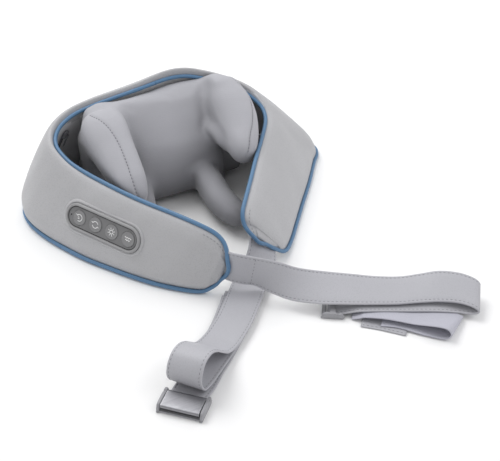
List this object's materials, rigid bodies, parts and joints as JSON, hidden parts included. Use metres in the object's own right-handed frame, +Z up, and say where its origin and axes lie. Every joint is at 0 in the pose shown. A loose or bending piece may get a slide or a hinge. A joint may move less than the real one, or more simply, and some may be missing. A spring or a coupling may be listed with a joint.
{
  "type": "shiatsu neck massager",
  "caption": "Padded neck collar with four kneading claws, a control panel on the left arm, blue piping and two webbing hand straps.",
  "frame": {"origin": "centre of the footprint on the surface that it stands on", "axes": "+Z up; -Y is the open front where the two arm tips meet; +Y is the back of the neck; +X is the wearer-side right arm as seen from the front"},
  "size_m": [0.3814, 0.4904, 0.1316],
  "materials": {
    "band_leather": "matte padded synthetic leather",
    "pad_knit": "fine stretch knit",
    "piping_cord": "satin blue corded piping",
    "webbing": "smooth edge-stitched webbing",
    "elastic": "ribbed elastic",
    "bezel_plastic": "fine matte",
    "face_plastic": "satin",
    "button_plastic": "satin",
    "lens": "dark window",
    "housing_plastic": "fine grain",
    "steel": "machined",
    "motor_steel": "drawn can",
    "brass": "machined",
    "nylon": "natural nylon",
    "cell_wrap": "heat-shrink",
    "circuit_board": "solder mask",
    "heater": "film",
    "node_rubber": "firm",
    "buckle_plastic": "fine matte",
    "zip_metal": "gunmetal",
    "zip_tape": "woven",
    "jack_plastic": "fine matte"
  },
  "bodies": {
    "core": {"core_housing_front": "housing_plastic", "core_housing_rear": "housing_plastic", "housing_screws": "steel", "motor_can": "motor_steel", "motor_bracket": "steel", "wheel_shafts": "steel", "battery_cells": "cell_wrap", "main_pcb": "circuit_board", "heating_film": "heater", "claw_pins_upper": "steel", "claw_pins_lower": "steel", "core_pad": "pad_knit", "band_back": "band_leather", "piping_back_upper": "piping_cord", "piping_back_lower": "piping_cord", "charging_jack": "jack_plastic", "zipper_tape": "zip_tape"},
    "arm_left": {"arm_left_pad": "band_leather", "piping_left_upper": "piping_cord", "piping_left_lower": "piping_cord", "strap_left": "webbing", "elastic_strap": "elastic", "elastic_end": "webbing", "strap_slide_left": "buckle_plastic", "control_bezel": "bezel_plastic", "control_face": "face_plastic", "control_rear_cover": "housing_plastic", "control_pcb": "circuit_board", "led_lens": "lens"},
    "arm_right": {"arm_right_pad": "band_leather", "piping_right_upper": "piping_cord", "piping_right_lower": "piping_cord", "strap_right": "webbing", "strap_right_tail": "webbing", "buckle_frame_right": "buckle_plastic", "buckle_pin_right": "steel"},
    "rotor": {"motor_rotor": "brass"},
    "wheel_left": {"worm_wheel_left": "nylon"},
    "wheel_right": {"worm_wheel_right": "nylon"},
    "claw_upper_left": {"claw_arm_upper_left": "nylon", "claw_node_upper_left": "node_rubber", "claw_cover_upper_left": "pad_knit"},
    "claw_upper_right": {"claw_arm_upper_right": "nylon", "claw_node_upper_right": "node_rubber", "claw_cover_upper_right": "pad_knit"},
    "claw_lower_left": {"claw_arm_lower_left": "nylon", "claw_node_lower_left": "node_rubber", "claw_cover_lower_left": "pad_knit"},
    "claw_lower_right": {"claw_arm_lower_right": "nylon", "claw_node_lower_right": "node_rubber", "claw_cover_lower_right": "pad_knit"},
    "power_key": {"button_power": "button_plastic"},
    "direction_key": {"button_direction": "button_plastic"},
    "heat_key": {"button_heat": "button_plastic"},
    "speed_key": {"button_speed": "button_plastic"},
    "buckle_lever": {"buckle_lever_right": "buckle_plastic"},
    "zip_slider": {"zipper_slider": "zip_metal"},
    "zip_pull": {"zipper_pull": "zip_metal"}
  },
  "joints": [
    {"name": "arm_left_flex", "type": "hinge", "parent": "core", "child": "arm_left", "pos_m": [-0.19265, 0.14187, 0.05], "axis": [0, 0, -1], "range_deg": [0, 7], "stiffness_Nm_per_rad": 0.8},
    {"name": "arm_right_flex", "type": "hinge", "parent": "core", "child": "arm_right", "pos_m": [0.19085, 0.13837, 0.05], "axis": [0, 0, 1], "range_deg": [0, 7], "stiffness_Nm_per_rad": 0.8},
    {"name": "motor_spin", "type": "hinge", "parent": "core", "child": "rotor", "pos_m": [-0.01315, 0.14787, 0.036], "axis": [1, 0, 0], "continuous": true},
    {"name": "wheel_left_spin", "type": "hinge", "parent": "core", "child": "wheel_left", "pos_m": [-0.04715, 0.14787, 0.0516], "axis": [0, 1, 0], "continuous": true},
    {"name": "wheel_right_spin", "type": "hinge", "parent": "core", "child": "wheel_right", "pos_m": [0.02085, 0.14787, 0.0516], "axis": [0, 1, 0], "continuous": true},
    {"name": "claw_upper_left_pinch", "type": "hinge", "parent": "core", "child": "claw_upper_left", "pos_m": [-0.09015, 0.13287, 0.076], "axis": [1, 0, 0], "range_deg": [0, 4]},
    {"name": "claw_upper_right_pinch", "type": "hinge", "parent": "core", "child": "claw_upper_right", "pos_m": [0.06385, 0.13287, 0.076], "axis": [1, 0, 0], "range_deg": [0, 4]},
    {"name": "claw_lower_left_pinch", "type": "hinge", "parent": "core", "child": "claw_lower_left", "pos_m": [-0.06415, 0.11087, 0.034], "axis": [1, 0, 0], "range_deg": [-4, 0]},
    {"name": "claw_lower_right_pinch", "type": "hinge", "parent": "core", "child": "claw_lower_right", "pos_m": [0.02285, 0.11087, 0.034], "axis": [1, 0, 0], "range_deg": [-4, 0]},
    {"name": "power_press", "type": "slide", "parent": "arm_left", "child": "power_key", "axis": [0.7758, 0.476, -0.4141], "range_m": [0, 0.0008], "stiffness_N_per_m": 250},
    {"name": "direction_press", "type": "slide", "parent": "arm_left", "child": "direction_key", "axis": [0.7758, 0.476, -0.4141], "range_m": [0, 0.0008], "stiffness_N_per_m": 250},
    {"name": "heat_press", "type": "slide", "parent": "arm_left", "child": "heat_key", "axis": [0.7758, 0.476, -0.4141], "range_m": [0, 0.0008], "stiffness_N_per_m": 250},
    {"name": "speed_press", "type": "slide", "parent": "arm_left", "child": "speed_key", "axis": [0.7758, 0.476, -0.4141], "range_m": [0, 0.0008], "stiffness_N_per_m": 250},
    {"name": "buckle_lever_open", "type": "hinge", "parent": "arm_right", "child": "buckle_lever", "pos_m": [-0.1402, -0.20006, 0.0064], "axis": [-0.7146, 0.6996, 0], "range_deg": [0, 70]},
    {"name": "zip_slide", "type": "slide", "parent": "core", "child": "zip_slider", "axis": [-0.3717, 0.2266, -0.9003], "range_m": [0, 0.038]},
    {"name": "zip_pull_swing", "type": "hinge", "parent": "zip_slider", "child": "zip_pull", "pos_m": [-0.12382, 0.16353, 0.08606], "axis": [-0.6908, -0.7154, 0.1051], "range_deg": [0, 60]}
  ],
  "couplings": [
    {"joint": "wheel_left_spin", "follows": "motor_spin", "ratio": 0.05},
    {"joint": "wheel_right_spin", "follows": "motor_spin", "ratio": 0.05},
    {"joint": "claw_upper_right_pinch", "follows": "claw_upper_left_pinch", "ratio": 1},
    {"joint": "claw_lower_left_pinch", "follows": "claw_upper_left_pinch", "ratio": -1},
    {"joint": "claw_lower_right_pinch", "follows": "claw_upper_left_pinch", "ratio": -1}
  ]
}
